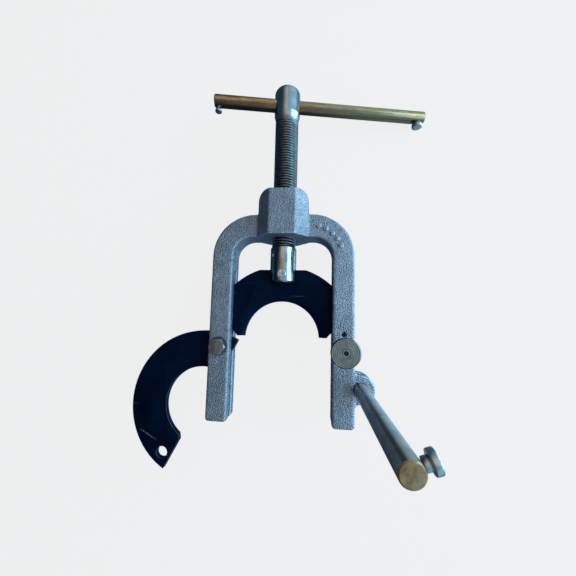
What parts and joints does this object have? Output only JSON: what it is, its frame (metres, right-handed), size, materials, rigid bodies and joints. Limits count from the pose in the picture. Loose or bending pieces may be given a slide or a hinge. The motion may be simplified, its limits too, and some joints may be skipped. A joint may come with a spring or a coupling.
{
  "type": "half-ring jaw screw clamp",
  "caption": "U-shaped cast yoke with a screw spindle and cross bar driving a half-ring jaw towards a swing-out half-ring jaw closed by a latch pin.",
  "frame": {"origin": "centre of the upper half ring, on the spindle axis and midway through the jaw plates", "axes": "+Y along the spindle to its head, +Z out of the yoke's front face along the half ring's axis, +X to the latch side; the clamp lies on its back"},
  "size_m": [0.2709, 0.3541, 0.1603],
  "materials": {
    "yoke_cast": "rough cast",
    "jaw_black": "black oxide, satin",
    "spindle_steel": "oiled turned steel",
    "bar_zinc": "yellow zinc plate",
    "stop_steel": "turned steel",
    "nose_steel": "polished turned steel",
    "pin_steel": "rough cut steel",
    "bolt_steel": "zinc plate",
    "latch_steel": "turned face",
    "grub_black": "black oxide",
    "rod_steel": "drawn bar"
  },
  "bodies": {
    "yoke": {"yoke": "yoke_cast", "pivot_bolt": "bolt_steel", "pivot_washer": "bolt_steel", "pivot_nut": "bolt_steel", "latch_grub_screw": "grub_black"},
    "carriage": {"swivel_nose": "nose_steel", "nose_pin": "pin_steel", "nose_keep_pins": "pin_steel", "upper_jaw": "jaw_black"},
    "spindle": {"spindle": "spindle_steel"},
    "tommy_bar": {"tommy_bar": "bar_zinc", "bar_stop_left": "stop_steel", "bar_stop_right": "stop_steel"},
    "lower_jaw": {"lower_jaw": "jaw_black"},
    "latch": {"latch_pin": "latch_steel", "latch_head": "latch_steel"},
    "guide_rod": {"guide_rod": "rod_steel", "rod_clip": "grub_black", "knob_stub": "stop_steel", "knob_disc": "stop_steel"}
  },
  "joints": [
    {"name": "jaw_travel", "type": "slide", "parent": "yoke", "child": "carriage", "axis": [0, 1, 0], "range_m": [-0.0004, 0.007]},
    {"name": "spindle_turn", "type": "hinge", "parent": "carriage", "child": "spindle", "pos_m": [0, 0.1, 0], "axis": [0, 1, 0], "range_deg": [-58, 1009]},
    {"name": "bar_slide", "type": "slide", "parent": "spindle", "child": "tommy_bar", "axis": [0.9842, 0, -0.1771], "range_m": [-0.112, 0.048]},
    {"name": "lower_jaw_swing", "type": "hinge", "parent": "yoke", "child": "lower_jaw", "pos_m": [-0.054, -0.0072, 0], "axis": [0, 0, 1], "range_deg": [0, 117.7]},
    {"name": "latch_push", "type": "slide", "parent": "yoke", "child": "latch", "axis": [0, 0, -1], "range_m": [0, 0.0118]},
    {"name": "rod_slide", "type": "slide", "parent": "yoke", "child": "guide_rod", "axis": [0, 0, -1], "range_m": [0, 0.1]}
  ],
  "couplings": [
    {"joint": "spindle_turn", "follows": "jaw_travel", "rad_per_m": 2513.3}
  ]
}
